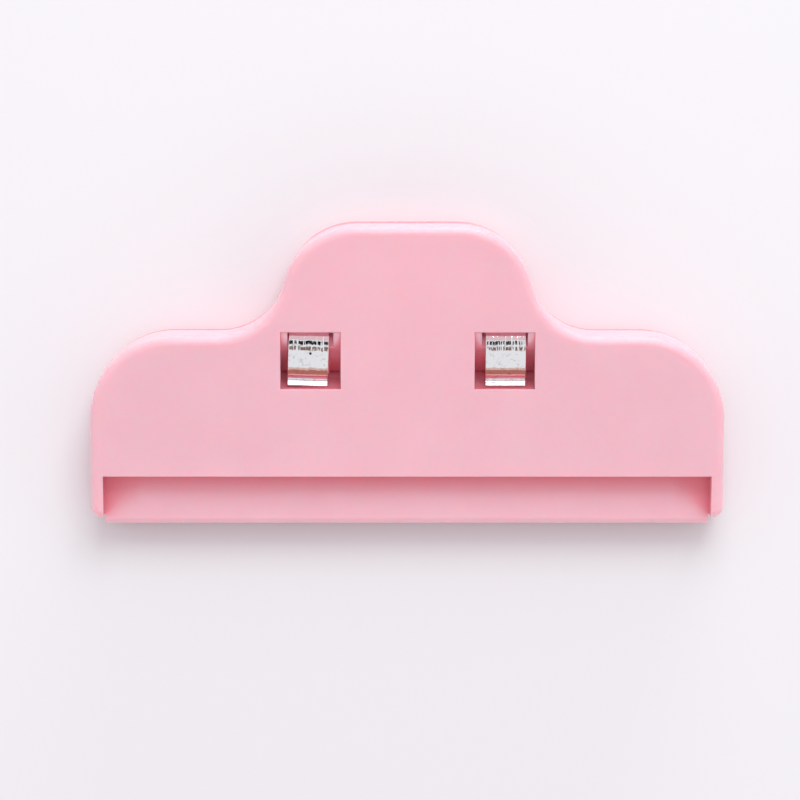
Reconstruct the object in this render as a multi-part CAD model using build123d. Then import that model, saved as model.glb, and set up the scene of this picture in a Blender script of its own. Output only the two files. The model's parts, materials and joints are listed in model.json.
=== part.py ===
from build123d import *
from math import cos, radians, sin, tan
import os

# Bag clip: two moulded plastic halves that rock on each other about a hinge line, held together
# and clamped at the jaw by two rings of spring strip.
#
# Frame, in millimetres. The rear half lies with its flat outer face on z = 0. The origin is the
# foot of the hinge axis on that face, at mid width. +X runs along the jaw, +Y runs from the jaw
# to the handle, and +Z points from the rear half to the front half.
# Both halves share one body shape, drawn here with the outer face down on z = 0. The front half
# is that shape turned over about the line where the mid-plane of the clip crosses x = 0.

# Lie of the two halves
HINGE_HEIGHT = 9.0  # hinge axis above each outer face
HALF_ANGLE = 6.0  # degrees between each outer face and the mid-plane
JAW_GAP = 0.1  # between the two closed jaw strips

# Plan outline of a half
WIDTH = 113.4
HANDLE_TOP = 23.0
HANDLE_HALF_TOP = 19.0  # half width of the handle where its sides meet the top line
HANDLE_HALF_ROOT = 24.8  # half width of the handle where its sides meet the shoulders
SHOULDER_Y = 3.3
JAW_END_Y = -29.6
HANDLE_ROUND = 13.4
ROOT_ROUND = 11.7
SHOULDER_ROUND = 15.0
FOOT_ROUND = 1.9

# Shell
FACE_THICKNESS = 1.5
WALL = 2.0
RIM_GAP = 0.3  # from the skirt's rim to the mid-plane, between the jaw and the hinge
RIM_PEAK_Y = -1.0
HANDLE_SKIRT_DEPTH = 5.5  # the rim falls away to this at the end of the handle
EDGE_ROUND = 1.5
EDGE_BREAK = 0.25  # small rounds on the rims of the channel and the windows

# Jaw strip, in a channel across the outer face
CHANNEL_HALF = 54.5
CHANNEL_TOP_Y = -22.0
STEP_WALL = 1.6
STRIP_THICKNESS = 2.0
STRIP_ROOT = 1.2  # how far the strip runs into each end wall
LIP_END_Y = -31.45
LIP_HALF = 54.3
LIP_ROUND = 1.3
RIDGE_Y = -26.0
RIDGE_RADIUS = 0.8
GROOVE_RADIUS = 0.95
RIDGE_HALF = 52.0

# Spring windows, with a pocket, a saddle and two cheeks behind each
WINDOW_X = 17.3
WINDOW_HALF = 5.35
WINDOW_TOP_Y = 4.15
WINDOW_END_Y = -6.05
SLOT_HALF = 4.1  # half width of the opening that the spring passes through
ROLL_RADIUS = 6.9  # of the round brow that leads from the face down into the pocket
ROLL_START_Z = 0.3
ROLL_START_ANGLE = 9.0  # degrees below the face, where the brow starts
SLOPE_ANGLE = 42.0  # degrees below the face, from the brow down to the crease
POCKET_WALL = 1.3
CREASE_Y = -3.7  # the slope ends here, in a crease at the foot of the ramp
RAMP_TOP_Z = 2.4
GROOVE_DEPTH = 0.35  # of the groove under the window's jaw edge, between these two depths
GROOVE_TOP_Z = 0.5
GROOVE_END_Z = 1.5
SEAT_STEP = 0.15  # how far the passage's floor lies below the saddle
SADDLE_RADIUS = 7.75
SADDLE_THICKNESS = 1.65
SADDLE_HALF = 3.3
SADDLE_WALL = 1.2
HOLLOW_Z = 3.0  # the saddle is hollow underneath, from here down to the hinge axis
HOLLOW_JAW_Y = -3.4
SADDLE_HANDLE_END = -35.0  # degrees about the hinge axis from the face normal, jaw side positive
SADDLE_JAW_END = 28.0
CHEEK = 1.5
CHEEK_HANDLE_Y = 7.0
CHEEK_JAW_Y = -8.5
CHEEK_SHOULDER_Z = 4.5

# Hinge: rounded noses on the front half's cheeks sit in cups in the rear half's cheeks
NOSE_RADIUS = 1.5
CUP_RADIUS = 1.55
CUP_RIM_RADIUS = 2.5
FLANK_ANGLE = 60.0  # degrees from the face normal to the cheek flanks, leaving room to rock

# Stiffening ribs inside each half
RIB = 1.2
RIB_DEPTH = 4.5
HANDLE_RIB_X = 8.0
BODY_RIB_X = 38.0

# Spring strip, a ring about the hinge axis that is open towards the jaw
SPRING_WIDTH = 7.2
SPRING_THICKNESS = 0.55
SPRING_INNER_RADIUS = 7.85
ARM_END = 34.0  # degrees past the face normal where each arm leaves the ring
BEND_INNER_RADIUS = 0.3
FLARE = 45.0  # degrees between the flared end of an arm and the outer face
FLARE_LENGTH = 0.74

HALF_WIDTH = WIDTH / 2
HINGE = Vector(0, 0, HINGE_HEIGHT)
MID_DIRECTION = Vector(0, cos(radians(HALF_ANGLE)), sin(radians(HALF_ANGLE)))
MID_NORMAL = Vector(0, -sin(radians(HALF_ANGLE)), cos(radians(HALF_ANGLE)))
SIDE = Plane.YZ  # sketch x is the part's y, sketch y is the part's z


def mid_z(y):
    """Height of the mid-plane above the rear half's outer face."""
    return HINGE_HEIGHT + y * tan(radians(HALF_ANGLE))


def about_hinge(radius, degrees):
    """(y, z) at this radius from the hinge axis, turned from the face normal towards the jaw."""
    return (-radius * sin(radians(degrees)), HINGE_HEIGHT - radius * cos(radians(degrees)))


def bar(profile, centre_x, half_length):
    """A side profile given in (y, z), run along X about centre_x."""
    return Pos(centre_x, 0, 0) * extrude(SIDE * profile, half_length, both=True)


def block(x_low, x_high, y_low, y_high, z_low, z_high):
    size = (x_high - x_low, y_high - y_low, z_high - z_low)
    return Pos(x_low, y_low, z_low) * Box(*size, align=(Align.MIN, Align.MIN, Align.MIN))


def rounded(face, corners, radius):
    """The face with the corners nearest to the given points rounded."""
    chosen = [min(face.vertices(), key=lambda v: (v.X - x) ** 2 + (v.Y - y) ** 2) for x, y in corners]
    return fillet(chosen, radius)


def both_sides(x, y):
    return [(-x, y), (x, y)]


def outline():
    """Plan outline of a half: a wide jaw with round shoulders and a narrower round handle."""
    right = [
        (HALF_WIDTH, JAW_END_Y),
        (HALF_WIDTH, SHOULDER_Y),
        (HANDLE_HALF_ROOT, SHOULDER_Y),
        (HANDLE_HALF_TOP, HANDLE_TOP),
    ]
    left = [(-x, y) for x, y in reversed(right)]
    face = make_face(Polyline(*right, *left, close=True).edges())
    rounds = (FOOT_ROUND, SHOULDER_ROUND, ROOT_ROUND, HANDLE_ROUND)
    for corner, radius in zip(right, rounds):
        face = rounded(face, both_sides(*corner), radius)
    return face


def above_rim():
    """All that lies past the rim: level with the mid-plane at the jaw, falling away to the handle."""
    gap = RIM_GAP / cos(radians(HALF_ANGLE))
    fall = (HANDLE_SKIRT_DEPTH - mid_z(RIM_PEAK_Y) + gap) / (HANDLE_TOP - RIM_PEAK_Y)
    jaw_y = JAW_END_Y - 1
    handle_y = HANDLE_TOP + 1
    corners = [
        (jaw_y, mid_z(jaw_y) - gap),
        (RIM_PEAK_Y, mid_z(RIM_PEAK_Y) - gap),
        (handle_y, HANDLE_SKIRT_DEPTH + fall),
        (handle_y, 2 * HINGE_HEIGHT),
        (jaw_y, 2 * HINGE_HEIGHT),
    ]
    return bar(make_face(Polyline(*corners, close=True).edges()), 0, HALF_WIDTH + 1)


def shell():
    """Face plate with a skirt round its edge, open inside above the step wall of the jaw."""
    plan = outline()
    slab = extrude(plan, HINGE_HEIGHT)
    slab = fillet(slab.faces().sort_by(Axis.Z)[0].edges(), EDGE_ROUND)
    inside = extrude(offset(plan, -WALL, kind=Kind.INTERSECTION), HINGE_HEIGHT)
    inside -= block(-HALF_WIDTH, HALF_WIDTH, JAW_END_Y, CHANNEL_TOP_Y + STEP_WALL, 0, HINGE_HEIGHT)
    return slab - Pos(0, 0, FACE_THICKNESS) * inside - above_rim()


def jaw_strip():
    """Strip along the mid-plane at the bottom of the channel, with a round lip past the end walls."""
    inner = JAW_GAP / 2
    outer = inner + STRIP_THICKNESS
    top = CHANNEL_TOP_Y + STEP_WALL
    corners = [
        (top, mid_z(top) - inner),
        (top, mid_z(top) - outer),
        (LIP_END_Y, mid_z(LIP_END_Y) - outer),
        (LIP_END_Y, mid_z(LIP_END_Y) - inner),
    ]
    profile = rounded(make_face(Polyline(*corners, close=True).edges()), [corners[2]], LIP_ROUND)
    strip = bar(profile, 0, CHANNEL_HALF + STRIP_ROOT)
    for low, high in ((-HALF_WIDTH, -LIP_HALF), (LIP_HALF, HALF_WIDTH)):
        strip -= block(low, high, LIP_END_Y - 1, JAW_END_Y, 0, HINGE_HEIGHT)
    return strip


def step_wall():
    """Wall from the face plate down to the jaw strip, at the top of the channel."""
    top = CHANNEL_TOP_Y + STEP_WALL
    inner = JAW_GAP / 2
    corners = [
        (CHANNEL_TOP_Y, FACE_THICKNESS / 2),
        (top, FACE_THICKNESS / 2),
        (top, mid_z(top) - inner),
        (CHANNEL_TOP_Y, mid_z(CHANNEL_TOP_Y) - inner),
    ]
    return bar(make_face(Polyline(*corners, close=True).edges()), 0, CHANNEL_HALF + STRIP_ROOT)


def channel():
    """The cut across the outer face that leaves the jaw strip exposed."""
    bottom = JAW_END_Y - 5
    outer = JAW_GAP / 2 + STRIP_THICKNESS
    corners = [
        (CHANNEL_TOP_Y, -1),
        (CHANNEL_TOP_Y, mid_z(CHANNEL_TOP_Y) - outer),
        (bottom, mid_z(bottom) - outer),
        (bottom, -1),
    ]
    return bar(make_face(Polyline(*corners, close=True).edges()), 0, CHANNEL_HALF)


def saddle():
    """Side profile of the curved seat under the spring, about the hinge axis."""
    inner_radius = SADDLE_RADIUS - SADDLE_THICKNESS
    ends = (SADDLE_HANDLE_END, (SADDLE_HANDLE_END + SADDLE_JAW_END) / 2, SADDLE_JAW_END)
    outer = [about_hinge(SADDLE_RADIUS, degrees) for degrees in ends]
    inner = [about_hinge(inner_radius, degrees) for degrees in ends]
    ends_closed = [Line(outer[2], inner[2]), Line(outer[0], inner[0])]
    return make_face([ThreePointArc(*outer), ThreePointArc(*inner), *ends_closed])


def brow(degrees):
    """(y, z) on the pocket's brow where it slopes at this angle below the face."""
    centre_y = WINDOW_TOP_Y + ROLL_RADIUS * sin(radians(ROLL_START_ANGLE))
    centre_z = ROLL_START_Z + ROLL_RADIUS * cos(radians(ROLL_START_ANGLE))
    return (centre_y - ROLL_RADIUS * sin(radians(degrees)), centre_z - ROLL_RADIUS * cos(radians(degrees)))


def crease_z():
    """Depth of the pocket where its slope meets the crease."""
    foot_y, foot_z = brow(SLOPE_ANGLE)
    return foot_z + (foot_y - CREASE_Y) * tan(radians(SLOPE_ANGLE))


def pocket():
    """Side profile of the pocket behind a window: a round brow, a slope, a crease and a ramp."""
    arc = [brow(t) for t in (ROLL_START_ANGLE, (ROLL_START_ANGLE + SLOPE_ANGLE) / 2, SLOPE_ANGLE)]
    depth = crease_z()
    back_y = POCKET_WALL * sin(radians(SLOPE_ANGLE))
    back_z = POCKET_WALL * cos(radians(SLOPE_ANGLE))
    corners = [
        arc[2],
        (CREASE_Y, depth),
        (CREASE_Y - 0.3, depth + 0.8),
        (CREASE_Y - 1.3, depth - 0.4),
        (WINDOW_END_Y, RAMP_TOP_Z),
        (WINDOW_END_Y, FACE_THICKNESS / 2),
        (WINDOW_END_Y - 1.5, FACE_THICKNESS / 2),
        (WINDOW_END_Y - 1.0, RAMP_TOP_Z + 0.6),
        (CREASE_Y - 2.3, depth + 0.3),
        (CREASE_Y - 0.9, depth + 1.8),
        (CREASE_Y + 0.5, depth + 1.4),
        (CREASE_Y + back_y, depth + back_z),
        (arc[2][0] + back_y, arc[2][1] + back_z),
        (WINDOW_TOP_Y + 1.5, FACE_THICKNESS / 2),
        (WINDOW_TOP_Y + 0.5, FACE_THICKNESS / 2),
        arc[0],
    ]
    return make_face([ThreePointArc(*arc), *Polyline(*corners).edges()])


def saddle_wall():
    """Side profile of the walls that carry the saddle on the pocket's slope."""
    corners = [(HOLLOW_JAW_Y + 0.2, 2.9), (2.0, 2.6), (-0.1, 3.6), (HOLLOW_JAW_Y, crease_z() + 0.4)]
    return make_face(Polyline(*corners, close=True).edges())


def cradle(x):
    """Pocket and saddle behind the window at x, with room for the spring to pass between them."""
    body = bar(pocket(), x, WINDOW_HALF)
    passage = block(x - SLOT_HALF, x + SLOT_HALF, 0, WINDOW_TOP_Y + 2, 0, HINGE_HEIGHT)
    body -= passage - bar(hinge_disc(SADDLE_RADIUS - SEAT_STEP), x, SLOT_HALF)
    hollow_half = SADDLE_HALF - SADDLE_WALL
    body -= block(x - hollow_half, x + hollow_half, HOLLOW_JAW_Y, WINDOW_TOP_Y, HOLLOW_Z, HINGE_HEIGHT)
    body += bar(saddle(), x, SADDLE_HALF)
    for side in (-1, 1):
        body += bar(saddle_wall(), x + side * (SADDLE_HALF - SADDLE_WALL / 2), SADDLE_WALL / 2)
    return body


def cheek(rim_radius):
    """Side profile of a wall beside a window, narrowing to the hinge axis."""
    jaw_rim = about_hinge(rim_radius, FLANK_ANGLE)
    handle_rim = about_hinge(rim_radius, -FLANK_ANGLE)
    corners = [
        (CHEEK_JAW_Y, FACE_THICKNESS / 2),
        (CHEEK_JAW_Y, CHEEK_SHOULDER_Z),
        jaw_rim,
        handle_rim,
        (CHEEK_HANDLE_Y, CHEEK_SHOULDER_Z),
        (CHEEK_HANDLE_Y, FACE_THICKNESS / 2),
    ]
    return make_face(Polyline(*corners, close=True).edges())


def hinge_disc(radius):
    return Pos(0, HINGE_HEIGHT) * Circle(radius)


def ribs():
    """Stiffening ribs: two in the handle and two across the body."""
    step_top = CHANNEL_TOP_Y + STEP_WALL
    runs = ((HANDLE_RIB_X, CHEEK_HANDLE_Y, HANDLE_TOP - WALL), (BODY_RIB_X, step_top, SHOULDER_Y - WALL))
    solids = []
    for rib_x, low, high in runs:
        for x in (-rib_x, rib_x):
            start = FACE_THICKNESS / 2
            solids.append(block(x - RIB / 2, x + RIB / 2, low - 0.5, high + 0.5, start, RIB_DEPTH))
    return solids


def rim_edges(body):
    """Edges in the outer face round the two windows and along the top of the channel."""
    chosen = []
    for edge in body.edges().filter_by_position(Axis.Z, -0.01, 0.01):
        middle = edge.center()
        at_window = abs(abs(middle.X) - WINDOW_X) < WINDOW_HALF + 0.1
        at_window = at_window and WINDOW_END_Y - 0.1 < middle.Y < WINDOW_TOP_Y + 0.1
        at_channel = abs(middle.X) < 0.1 and abs(middle.Y - CHANNEL_TOP_Y) < 0.1
        if at_window or at_channel:
            chosen.append(edge)
    return chosen


def half(cheek_profile):
    """One half, outer face down, with the given cheek profile beside each window."""
    body = shell() - channel() + jaw_strip() + step_wall()
    for x in (-WINDOW_X, WINDOW_X):
        body -= block(x - WINDOW_HALF, x + WINDOW_HALF, WINDOW_END_Y, WINDOW_TOP_Y, -1, FACE_THICKNESS + 1)
        for side in (-1, 1):
            body += bar(cheek_profile, x + side * (WINDOW_HALF + CHEEK / 2), CHEEK / 2)
        body += cradle(x)
        groove_y = WINDOW_END_Y - GROOVE_DEPTH
        body -= block(x - WINDOW_HALF, x + WINDOW_HALF, groove_y, WINDOW_END_Y, GROOVE_TOP_Z, GROOVE_END_Z)
    for rib in ribs():
        body += rib
    return fillet(rim_edges(body), EDGE_BREAK)


def rear_half():
    """The half that lies on z = 0, with cups for the hinge and a groove along the jaw."""
    body = half(cheek(CUP_RIM_RADIUS) - hinge_disc(CUP_RADIUS))
    groove = Pos(RIDGE_Y, mid_z(RIDGE_Y)) * Circle(GROOVE_RADIUS)
    return body - bar(groove, 0, RIDGE_HALF + 0.5)


def front_half():
    """The half on top, with noses for the hinge and a ridge along the jaw."""
    body = half(cheek(NOSE_RADIUS) + hinge_disc(NOSE_RADIUS))
    ridge = Pos(RIDGE_Y, mid_z(RIDGE_Y)) * Circle(RIDGE_RADIUS)
    body += bar(ridge, 0, RIDGE_HALF)
    return body.rotate(Axis(HINGE, MID_DIRECTION), 180)


def spring(x):
    """A strip bent into a ring about the hinge axis, with a flared end on each arm."""
    ring_radius = SPRING_INNER_RADIUS + SPRING_THICKNESS / 2
    bend_radius = BEND_INNER_RADIUS + SPRING_THICKNESS / 2
    bend_y, bend_z = about_hinge(ring_radius + bend_radius, ARM_END)
    bend_start = 90 - ARM_END
    bend_end = 90 + FLARE
    bend_points = []
    for turn in (bend_start, (bend_start + bend_end) / 2, bend_end):
        point_y = bend_y + bend_radius * cos(radians(turn))
        point_z = bend_z + bend_radius * sin(radians(turn))
        bend_points.append((0, point_y, point_z))
    _, tip_y, tip_z = bend_points[2]
    tip = (0, tip_y - FLARE_LENGTH * cos(radians(FLARE)), tip_z - FLARE_LENGTH * sin(radians(FLARE)))
    bend = ThreePointArc(*bend_points)
    flare = Line(bend_points[2], tip)
    mid_plane = Plane(origin=HINGE, z_dir=MID_NORMAL)
    ring_start = Vector(*bend_points[0])
    ring_end = ring_start - MID_NORMAL * (2 * (ring_start - HINGE).dot(MID_NORMAL))
    ring = ThreePointArc(ring_start, HINGE + MID_DIRECTION * ring_radius, ring_end)
    path = Wire([flare, bend, ring, bend.mirror(mid_plane), flare.mirror(mid_plane)])
    start = Plane(origin=path @ 0, x_dir=(1, 0, 0), z_dir=path % 0)
    return Pos(x, 0, 0) * sweep(start * Rectangle(SPRING_WIDTH, SPRING_THICKNESS), path=path)


def main():
    nodes = {
        "rear_half": rear_half(),
        "front_half": front_half(),
        "spring_left": spring(-WINDOW_X),
        "spring_right": spring(WINDOW_X),
    }
    os.makedirs("parts", exist_ok=True)
    for name, shape in nodes.items():
        export_step(shape, f"parts/{name}.step")


main()
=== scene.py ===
import json
import math

import bmesh
import bpy
from mathutils import Matrix, Vector


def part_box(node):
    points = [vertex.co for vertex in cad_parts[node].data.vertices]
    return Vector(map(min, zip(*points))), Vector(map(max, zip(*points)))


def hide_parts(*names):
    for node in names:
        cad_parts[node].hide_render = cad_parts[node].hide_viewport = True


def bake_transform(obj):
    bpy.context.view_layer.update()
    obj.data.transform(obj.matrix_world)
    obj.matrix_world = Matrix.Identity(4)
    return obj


# A bag clip lying on a white table, seen from above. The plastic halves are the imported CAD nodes
# with a moulded-plastic material; each spring node is replaced by a finished strip.
# Lengths are in metres. Angles are in radians, but a card's two ends are given in degrees.

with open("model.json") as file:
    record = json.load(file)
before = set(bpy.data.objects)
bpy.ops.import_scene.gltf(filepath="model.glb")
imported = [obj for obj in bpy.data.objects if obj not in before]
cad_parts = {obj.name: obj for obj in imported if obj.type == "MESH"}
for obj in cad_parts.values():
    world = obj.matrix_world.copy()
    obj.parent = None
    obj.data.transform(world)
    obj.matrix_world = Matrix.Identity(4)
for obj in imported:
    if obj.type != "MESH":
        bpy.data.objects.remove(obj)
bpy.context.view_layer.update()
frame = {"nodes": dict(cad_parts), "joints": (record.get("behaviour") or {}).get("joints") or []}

MM = 0.001
SQUEEZE = next(j for j in frame["joints"] if j["name"] == "squeeze")
HINGE = Vector(SQUEEZE["pos_m"])
HALF_ANGLE = math.radians(6)  # between each outer face and the mid-plane
MID_NORMAL = Vector((0, -math.sin(HALF_ANGLE), math.cos(HALF_ANGLE)))

# Spring strip, drawn round the hinge axis in the clip's side plane
SPRING_WIDTH = 7.2 * MM
SPRING_THICKNESS = 0.55 * MM
SPRING_RADIUS = 8.125 * MM  # to the middle of the strip's thickness
SPRING_EDGE_ROUND = 0.11 * MM
ARM_END = math.radians(34)  # past the face normal, where each arm leaves the ring
BEND_RADIUS = 0.575 * MM
FLARE = math.radians(45)  # between the flared end of an arm and the outer face
FLARE_LENGTH = 0.74 * MM
RING_STEPS = 120
BEND_STEPS = 14
FLARE_STEPS = 4

# How far each spring has crept along the jaw, and how far the left one has turned
LEFT_CREEP = -0.36 * MM
RIGHT_CREEP = 0.18 * MM
LEFT_SKEW = math.radians(-2)
SPECK_TURN = math.radians(10)  # from the top of the left spring towards the jaw
SPECK_EDGE = (0.2 * MM, 0.27 * MM)  # from its middle: where it starts to fade and where it ends

TABLE_SIZE = 6
TABLE_DROP = 0.02 * MM  # keeps the table clear of the clip's lowest face
CARD_DISTANCE = 0.75  # from the hinge line
CARD_STEPS = 12

LENS_LENGTH = 167.6  # in millimetres, as is the sensor's width
SENSOR_WIDTH = 36
CAMERA_AIM = Vector((-1.34, -9.66, 15)) * MM
CAMERA_DISTANCE = 0.665
CAMERA_LEFT = math.radians(0.5)
CAMERA_TO_JAW = math.radians(1.5)

# Colours, in linear light
DIM_PINK = (0.875, 0.532, 0.612, 1)
PALE_PINK = (0.893, 0.552, 0.632, 1)
# painted shade: the pink mixed into corners and hollows by the ambient occlusion node
PAINTED_SHADE_PINK = (0.84, 0.29, 0.36, 1)
SCUFFED_METAL = (0.72, 0.76, 0.78, 1)
CLEAN_METAL = (0.89, 0.94, 0.96, 1)
SOIL = (0.004, 0.003, 0.003, 1)
TABLE_WHITE = (0.82, 0.822, 0.852, 1)
SKY = (1.03, 0.975, 0.99, 1)


def node(tree, kind, **values):
    """A new shader node with its inputs or settings given by name."""
    made = tree.nodes.new(kind)
    for name, value in values.items():
        if name in made.inputs:
            made.inputs[name].default_value = value
        else:
            setattr(made, name, value)
    return made


def noise(tree, place, **values):
    """Noise over the given coordinates."""
    made = node(tree, "ShaderNodeTexNoise", **values)
    tree.links.new(place, made.inputs["Vector"])
    return made.outputs["Fac"]


def remap(tree, value, source, target=(0.0, 1.0)):
    """The value with its source range stretched over the target range, and held at the ends."""
    ends = {"From Min": source[0], "From Max": source[1], "To Min": target[0], "To Max": target[1]}
    made = node(tree, "ShaderNodeMapRange", **ends)
    tree.links.new(value, made.inputs["Value"])
    return made.outputs["Result"]


def ramp(tree, value, *stops):
    """A blend of two colours; a stop is the value where a colour is reached, and the colour."""
    made = node(tree, "ShaderNodeValToRGB")
    for element, (position, colour) in zip(made.color_ramp.elements, stops):
        element.position = position
        element.color = colour
    tree.links.new(value, made.inputs["Fac"])
    return made.outputs["Color"]


def mix(tree, amount, colour, other):
    """The given colour where the amount is 0, and the other node's colour where it is 1."""
    made = node(tree, "ShaderNodeMixRGB", Color1=colour)
    tree.links.new(amount, made.inputs["Fac"])
    tree.links.new(other, made.inputs["Color2"])
    return made.outputs["Color"]


def bump(tree, height, strength, distance):
    """The surface's normal, tilted by the given height."""
    made = node(tree, "ShaderNodeBump", Strength=strength, Distance=distance)
    tree.links.new(height, made.inputs["Height"])
    return made.outputs["Normal"]


def new_material(name):
    """A new material, its node tree and its shader."""
    material = bpy.data.materials.new(name)
    material.use_nodes = True
    return material, material.node_tree, material.node_tree.nodes["Principled BSDF"]


def plastic():
    """Pale pink satin plastic: light goes a little way in, and the surface has a faint grain.

    The pink deepens in the corners and hollows: painted shade, mixed in by an ambient occlusion
    node, standing in for the light that reaches them only off other pink walls.
    """
    material, tree, shader = new_material("pink_plastic")
    place = node(tree, "ShaderNodeTexCoord").outputs["Object"]

    mottle = noise(tree, place, Scale=90.0, Detail=2.0)
    tint = ramp(tree, mottle, (0.35, DIM_PINK), (0.65, PALE_PINK))
    # painted shade: ambient occlusion darkens and deepens the pink in corners and hollows
    openness = node(tree, "ShaderNodeAmbientOcclusion", samples=8, Distance=7 * MM).outputs["AO"]
    colour = mix(tree, remap(tree, openness, (0.6, 0.9)), PAINTED_SHADE_PINK, tint)
    tree.links.new(colour, shader.inputs["Base Color"])

    polish = noise(tree, place, Scale=350.0, Detail=3.0)
    tree.links.new(remap(tree, polish, (0.3, 0.7), (0.23, 0.27)), shader.inputs["Roughness"])

    grain = noise(tree, place, Scale=6000.0, Detail=2.0)
    tree.links.new(bump(tree, grain, 0.08, 0.02 * MM), shader.inputs["Normal"])

    shader.inputs["IOR"].default_value = 1.46
    shader.inputs["Subsurface Weight"].default_value = 1.0
    shader.inputs["Subsurface Radius"].default_value = (1.0, 0.2, 0.15)
    shader.inputs["Subsurface Scale"].default_value = 1.5 * MM
    return material


def steel(name, speck=None):
    """Bright plated strip, drawn lengthwise, so that it breaks a reflection into short bars.

    It has faint scuffs, and may have one dark speck, at the given point of the frame.
    """
    material, tree, shader = new_material(name)
    place = node(tree, "ShaderNodeTexCoord").outputs["Object"]

    stretch = node(tree, "ShaderNodeMapping", Scale=(1500, 260, 260))
    tree.links.new(place, stretch.inputs["Vector"])
    ripple = noise(tree, stretch.outputs["Vector"], Scale=1.0, Detail=1.0)
    tree.links.new(bump(tree, ripple, 1.0, 0.08 * MM), shader.inputs["Normal"])

    scuff = noise(tree, place, Scale=1400.0, Detail=4.0, Distortion=0.6)
    tree.links.new(remap(tree, scuff, (0.3, 0.6), (0.12, 0.05)), shader.inputs["Roughness"])
    metal = ramp(tree, scuff, (0.34, SCUFFED_METAL), (0.44, CLEAN_METAL))
    tree.links.new(metal, shader.inputs["Base Color"])
    shader.inputs["Metallic"].default_value = 1.0

    if speck is not None:
        add_speck(tree, shader, place, metal, speck)
    return material


def add_speck(tree, shader, place, metal, speck):
    """A small dark speck of dirt on the metal, at the given point of the frame."""
    away = node(tree, "ShaderNodeVectorMath", operation="DISTANCE")
    away.inputs[1].default_value = speck
    tree.links.new(place, away.inputs[0])
    clean = remap(tree, away.outputs["Value"], SPECK_EDGE)
    tree.links.new(clean, shader.inputs["Metallic"])
    tree.links.new(mix(tree, clean, SOIL, metal), shader.inputs["Base Color"])


def centre_x(cad_node):
    """Where the middle of a CAD node lies along the jaw."""
    low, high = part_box(cad_node)
    return (low.x + high.x) / 2


def on_ring(cad_node, turn):
    """Point on the outside of a spring at mid width, this angle from its top towards the jaw."""
    outside = SPRING_RADIUS + SPRING_THICKNESS / 2
    offset = Vector((centre_x(cad_node), -outside * math.sin(turn), outside * math.cos(turn)))
    return HINGE + offset


def direction(turn):
    """Unit vector in the side plane: 0 points to the handle, and a quarter turn points up."""
    return Vector((0, math.cos(turn), math.sin(turn)))


def rear_arm():
    """Points and outward normals of the arm on the rear half, from its tip to the ring."""
    bend_centre = direction(-math.pi / 2 - ARM_END) * (SPRING_RADIUS + BEND_RADIUS)
    first = math.pi / 2 - ARM_END
    last = math.pi / 2 + FLARE
    arm = []
    for i in range(BEND_STEPS + 1):
        away = direction(first + (last - first) * i / BEND_STEPS)
        arm.append((bend_centre + away * BEND_RADIUS, -away))
    bend_end, normal = arm[-1]
    flare = direction(math.pi + FLARE) * FLARE_LENGTH
    for i in range(1, FLARE_STEPS + 1):
        arm.append((bend_end + flare * i / FLARE_STEPS, normal))
    arm.reverse()
    return arm


def mirrored(v):
    """The vector, mirrored in the mid-plane."""
    return v - MID_NORMAL * (2 * v.dot(MID_NORMAL))


def strip_path():
    """Points and outward normals of the strip's centre line, from the rear tip to the front tip."""
    arm = rear_arm()
    start = -math.pi / 2 - ARM_END
    end = 2 * HALF_ANGLE - start
    ring = []
    for i in range(1, RING_STEPS):
        away = direction(start + (end - start) * i / RING_STEPS)
        ring.append((away * SPRING_RADIUS, away))
    front_arm = [(mirrored(point), mirrored(normal)) for point, normal in reversed(arm)]
    return arm + ring + front_arm


def strip_mesh(name, skew):
    """The strip with square edges, as a smooth-shaded mesh about the hinge."""
    turned = Matrix.Rotation(skew, 3, MID_NORMAL)
    across = Vector((SPRING_WIDTH / 2, 0, 0))
    shape = bmesh.new()
    sections = []
    for point, normal in strip_path():
        outward = normal * (SPRING_THICKNESS / 2)
        inner = (point - across - outward, point + across - outward)
        outer = (point + across + outward, point - across + outward)
        sections.append([shape.verts.new(turned @ corner) for corner in inner + outer])
    for a, b in zip(sections, sections[1:]):
        for i in range(4):
            j = (i + 1) % 4
            shape.faces.new((a[i], a[j], b[j], b[i]))
    shape.faces.new(sections[0][::-1])
    shape.faces.new(sections[-1])
    bmesh.ops.recalc_face_normals(shape, faces=shape.faces)
    mesh = bpy.data.meshes.new(name)
    shape.to_mesh(mesh)
    shape.free()
    for face in mesh.polygons:
        face.use_smooth = True
    return mesh


def round_edges(piece):
    """Rounds the edges and the tips of a strip, and applies the result to its mesh."""
    bevel = piece.modifiers.new("edge", "BEVEL")
    bevel.width = SPRING_EDGE_ROUND
    bevel.segments = 3
    bevel.limit_method = "ANGLE"
    bevel.angle_limit = math.radians(40)
    bevel.harden_normals = True
    bpy.context.view_layer.update()
    graph = bpy.context.evaluated_depsgraph_get()
    finished = bpy.data.meshes.new_from_object(piece.evaluated_get(graph))
    piece.modifiers.clear()
    piece.data = finished


def spring(name, cad_node, creep, skew, material):
    """A finished spring strip in place of its CAD node, with its edges and tips rounded.

    It floats sideways between its cheeks: creep is how far it has moved along the jaw, and
    skew how far it has turned about the clip's thickness.
    """
    mesh = strip_mesh(name, skew)
    mesh.materials.append(material)
    piece = bpy.data.objects.new(name, mesh)
    bpy.context.scene.collection.objects.link(piece)
    piece.location = HINGE + Vector((centre_x(cad_node) + creep, 0, 0))
    round_edges(piece)
    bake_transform(piece)
    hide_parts(cad_node)


def dress_halves(material):
    """Gives both packed halves their material."""
    for name in ("rear_half", "front_half"):
        shell = frame["nodes"][name]
        shell.data.materials.clear()
        shell.data.materials.append(material)


def table_top():
    """A plain white table, wide enough to fill the view."""
    material, _, shader = new_material("table_white")
    shader.inputs["Base Color"].default_value = TABLE_WHITE
    shader.inputs["Roughness"].default_value = 0.6
    bpy.ops.mesh.primitive_plane_add(size=TABLE_SIZE, location=(0, 0, -TABLE_DROP))
    floor = bpy.context.object
    floor.name = "table_top"
    floor.data.materials.append(material)


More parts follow.
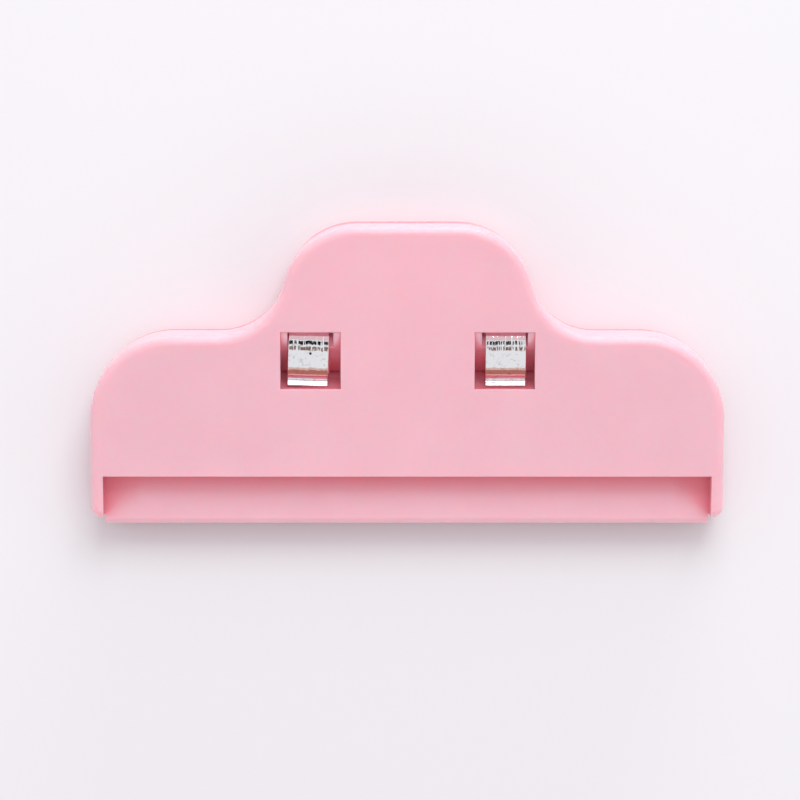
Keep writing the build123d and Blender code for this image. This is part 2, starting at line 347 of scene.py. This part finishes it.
def card(name, first, last, half_width, colour):
    """A glowing part of an arch over the clip: a painted reflection, seen only in the springs.

    It runs between two angles in degrees, counted from the vertical towards the jaw.
    """
    material = bpy.data.materials.new(name)
    material.use_nodes = True
    tree = material.node_tree
    tree.nodes.clear()
    glow = node(tree, "ShaderNodeEmission", Color=colour)
    result = node(tree, "ShaderNodeOutputMaterial")
    tree.links.new(glow.outputs["Emission"], result.inputs["Surface"])
    points = []
    for i in range(CARD_STEPS + 1):
        turn = math.radians(first + (last - first) * i / CARD_STEPS)
        y = -CARD_DISTANCE * math.sin(turn)
        z = HINGE.z + CARD_DISTANCE * math.cos(turn)
        points += [(-half_width, y, z), (half_width, y, z)]
    faces = [(2 * i, 2 * i + 1, 2 * i + 3, 2 * i + 2) for i in range(CARD_STEPS)]
    mesh = bpy.data.meshes.new(name)
    mesh.from_pydata(points, [], faces)
    mesh.materials.append(material)
    arch = bpy.data.objects.new(name, mesh)
    bpy.context.scene.collection.objects.link(arch)
    arch.visible_camera = False
    arch.visible_shadow = False
    arch.visible_diffuse = False


def painted_reflection_cards():
    """Glowing cards that the springs mirror: painted reflections standing in for the room and the
    shaded window walls.
    """
    # painted reflections: glowing cards, hidden from the camera, diffuse light and shadows, that the
    # springs mirror as bands; the last two stand in for the shaded pink wall of each window
    card("pink_card", first=-31, last=-15, half_width=0.12, colour=(0.78, 0.50, 0.54, 1))
    card("black_card", first=-13, last=-4, half_width=0.065, colour=(0.004, 0.004, 0.004, 1))
    card("brown_card", first=1, last=10, half_width=0.065, colour=(0.22, 0.12, 0.10, 1))
    card("rose_card", first=54, last=60, half_width=0.4, colour=(0.72, 0.44, 0.41, 1))
    card("shaded_wall_reflection_card", first=60, last=91, half_width=0.4, colour=(0.45, 0.15, 0.11, 1))


def light(name, place, size, watts, colour):
    """A rectangular panel of light that faces the clip."""
    lamp = bpy.data.lights.new(name, "AREA")
    lamp.shape = "RECTANGLE"
    lamp.size, lamp.size_y = size
    lamp.energy = watts
    lamp.color = colour
    holder = bpy.data.objects.new(name, lamp)
    bpy.context.scene.collection.objects.link(holder)
    holder.location = place
    holder.rotation_mode = "QUATERNION"
    holder.rotation_quaternion = (HINGE - Vector(place)).to_track_quat("-Z", "Y")


def lighting():
    """Soft light from all round, with two windows on the handle's side."""
    world = bpy.data.worlds.new("studio")
    bpy.context.scene.world = world
    world.use_nodes = True
    background = world.node_tree.nodes["Background"]
    background.inputs["Color"].default_value = SKY
    background.inputs["Strength"].default_value = 0.82
    light("window", place=(0.17, 0.80, 1.0), size=(0.7, 0.7), watts=5.7, colour=(0.95, 1.0, 0.99))
    light("low_window", place=(0.25, 1.25, 0.17), size=(0.8, 0.2), watts=6.5, colour=(1, 0.98, 0.98))


def camera():
    """A long lens above the clip, moved a little towards the jaw and aimed beside the middle."""
    lens = bpy.data.cameras.new("camera")
    lens.sensor_width = SENSOR_WIDTH
    lens.lens = LENS_LENGTH
    lens.clip_start = 0.01
    lens.clip_end = 10
    holder = bpy.data.objects.new("camera", lens)
    bpy.context.scene.collection.objects.link(holder)
    away = Vector((-math.sin(CAMERA_LEFT), -math.sin(CAMERA_TO_JAW), 1)).normalized()
    forward = -away
    right = forward.cross(Vector((0, 1, 0))).normalized()
    up = right.cross(forward)
    holder.location = CAMERA_AIM + away * CAMERA_DISTANCE
    holder.rotation_mode = "QUATERNION"
    holder.rotation_quaternion = Matrix((right, up, away)).transposed().to_quaternion()
    bpy.context.scene.camera = holder


dress_halves(plastic())
specked_steel = steel("specked_steel", on_ring("spring_left", SPECK_TURN))
clean_steel = steel("clean_steel")
spring("spring_strip_left", "spring_left", LEFT_CREEP, LEFT_SKEW, specked_steel)
spring("spring_strip_right", "spring_right", RIGHT_CREEP, 0, clean_steel)
table_top()
painted_reflection_cards()
lighting()
camera()
bpy.context.scene.view_settings.view_transform = "Standard"
